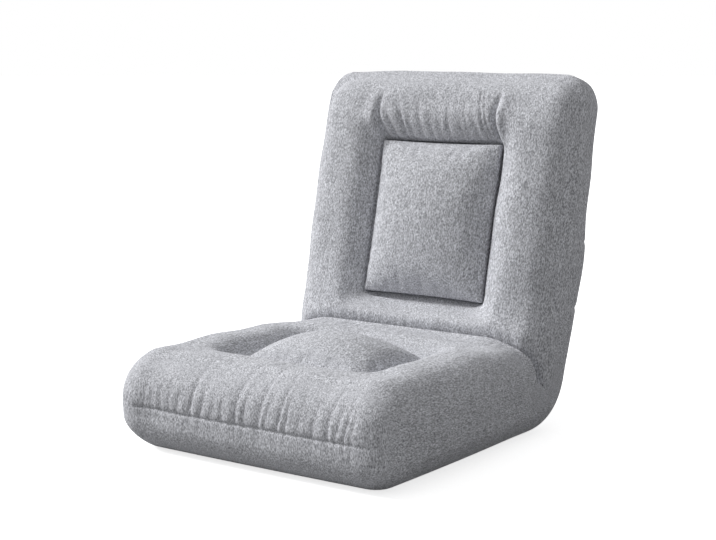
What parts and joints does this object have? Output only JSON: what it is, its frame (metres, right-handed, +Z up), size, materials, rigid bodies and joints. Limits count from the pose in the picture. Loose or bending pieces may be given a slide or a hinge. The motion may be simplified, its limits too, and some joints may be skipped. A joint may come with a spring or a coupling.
{
  "type": "folding floor chair",
  "caption": "Legless folding floor chair: a recessed padded seat and back on bent tube frames, joined by ratchet hinges that lock from upright to flat, in heathered grey fabric.",
  "frame": {"origin": "centre of the seat's flat underside, on the floor", "axes": "+Z up, +Y from the seat's front towards the back and rear, +X across the chair (the sitter's left, and right as seen from the front)"},
  "size_m": [0.54, 0.6821, 0.6034],
  "materials": {
    "cover_fabric": "heathered woven, matte",
    "foam": "matte foam",
    "tube_steel": "satin black",
    "hinge_steel": "zinc plated",
    "plug_plastic": "matte",
    "strap_webbing": "woven elastic",
    "grip_cloth": "matte, dotted for grip",
    "zip_tape": "woven",
    "zip_coil": "satin",
    "zip_metal": "satin grey"
  },
  "bodies": {
    "seat": {"heel_gusset": "cover_fabric", "left_ratchet_plate": "hinge_steel", "right_ratchet_plate": "hinge_steel", "seat_arm_rivets": "hinge_steel", "seat_base_cover": "cover_fabric", "seat_base_foam": "foam", "seat_center_pad": "cover_fabric", "seat_cross_tube": "tube_steel", "seat_foam": "foam", "seat_frame": "tube_steel", "seat_front_bolster": "cover_fabric", "seat_grip_panel": "grip_cloth", "seat_left_bolster": "cover_fabric", "seat_rail_plugs": "plug_plastic", "seat_rear_bolster": "cover_fabric", "seat_rear_roll": "cover_fabric", "seat_right_bolster": "cover_fabric", "seat_strap_clips": "hinge_steel", "seat_straps": "strap_webbing"},
    "back": {"back_arm_rivets": "hinge_steel", "back_center_pad": "cover_fabric", "back_cross_tube": "tube_steel", "back_frame": "tube_steel", "back_front_foam": "foam", "back_left_bolster": "cover_fabric", "back_lower_roll": "cover_fabric", "back_rail_plugs": "plug_plastic", "back_rear_cover": "cover_fabric", "back_rear_foam": "foam", "back_right_bolster": "cover_fabric", "back_strap_clips": "hinge_steel", "back_straps": "strap_webbing", "back_top_bolster": "cover_fabric", "left_hinge_inner_cheek": "hinge_steel", "left_hinge_outer_cheek": "hinge_steel", "left_pawl_spring": "hinge_steel", "left_pivot_rivet": "hinge_steel", "pawl_pins": "hinge_steel", "right_hinge_inner_cheek": "hinge_steel", "right_hinge_outer_cheek": "hinge_steel", "right_pawl_spring": "hinge_steel", "right_pivot_rivet": "hinge_steel", "spring_posts": "hinge_steel", "zip_chain": "zip_coil", "zip_tape": "zip_tape"},
    "left_pawl": {"left_pawl": "hinge_steel"},
    "right_pawl": {"right_pawl": "hinge_steel"},
    "zip_slider": {"zip_slider": "zip_metal"},
    "zip_pull": {"zip_pull": "zip_metal"}
  },
  "joints": [
    {"name": "back_recline", "type": "hinge", "parent": "seat", "child": "back", "pos_m": [0, 0.23925, 0.11], "axis": [1, 0, 0], "range_deg": [-76.9, 61.52], "deforming": ["seat_rear_roll", "back_lower_roll", "heel_gusset"]},
    {"name": "left_pawl_lift", "type": "hinge", "parent": "back", "child": "left_pawl", "pos_m": [-0.2038, 0.24921, 0.14407], "axis": [1, 0, 0], "range_deg": [0, 15], "stiffness_Nm_per_rad": 0.2, "springref_deg": -17.19, "deforming": ["left_pawl_spring"]},
    {"name": "right_pawl_lift", "type": "hinge", "parent": "back", "child": "right_pawl", "pos_m": [0.2038, 0.24921, 0.14407], "axis": [1, 0, 0], "range_deg": [0, 15], "stiffness_Nm_per_rad": 0.2, "springref_deg": -17.19, "deforming": ["right_pawl_spring"]},
    {"name": "zip_slide", "type": "slide", "parent": "back", "child": "zip_slider", "axis": [-1, 0, 0], "range_m": [0, 0.32]},
    {"name": "zip_pull_swing", "type": "hinge", "parent": "zip_slider", "child": "zip_pull", "pos_m": [0.16, 0.37818, 0.23168], "axis": [0, -0.2267, -0.974], "range_deg": [0, 180]}
  ]
}
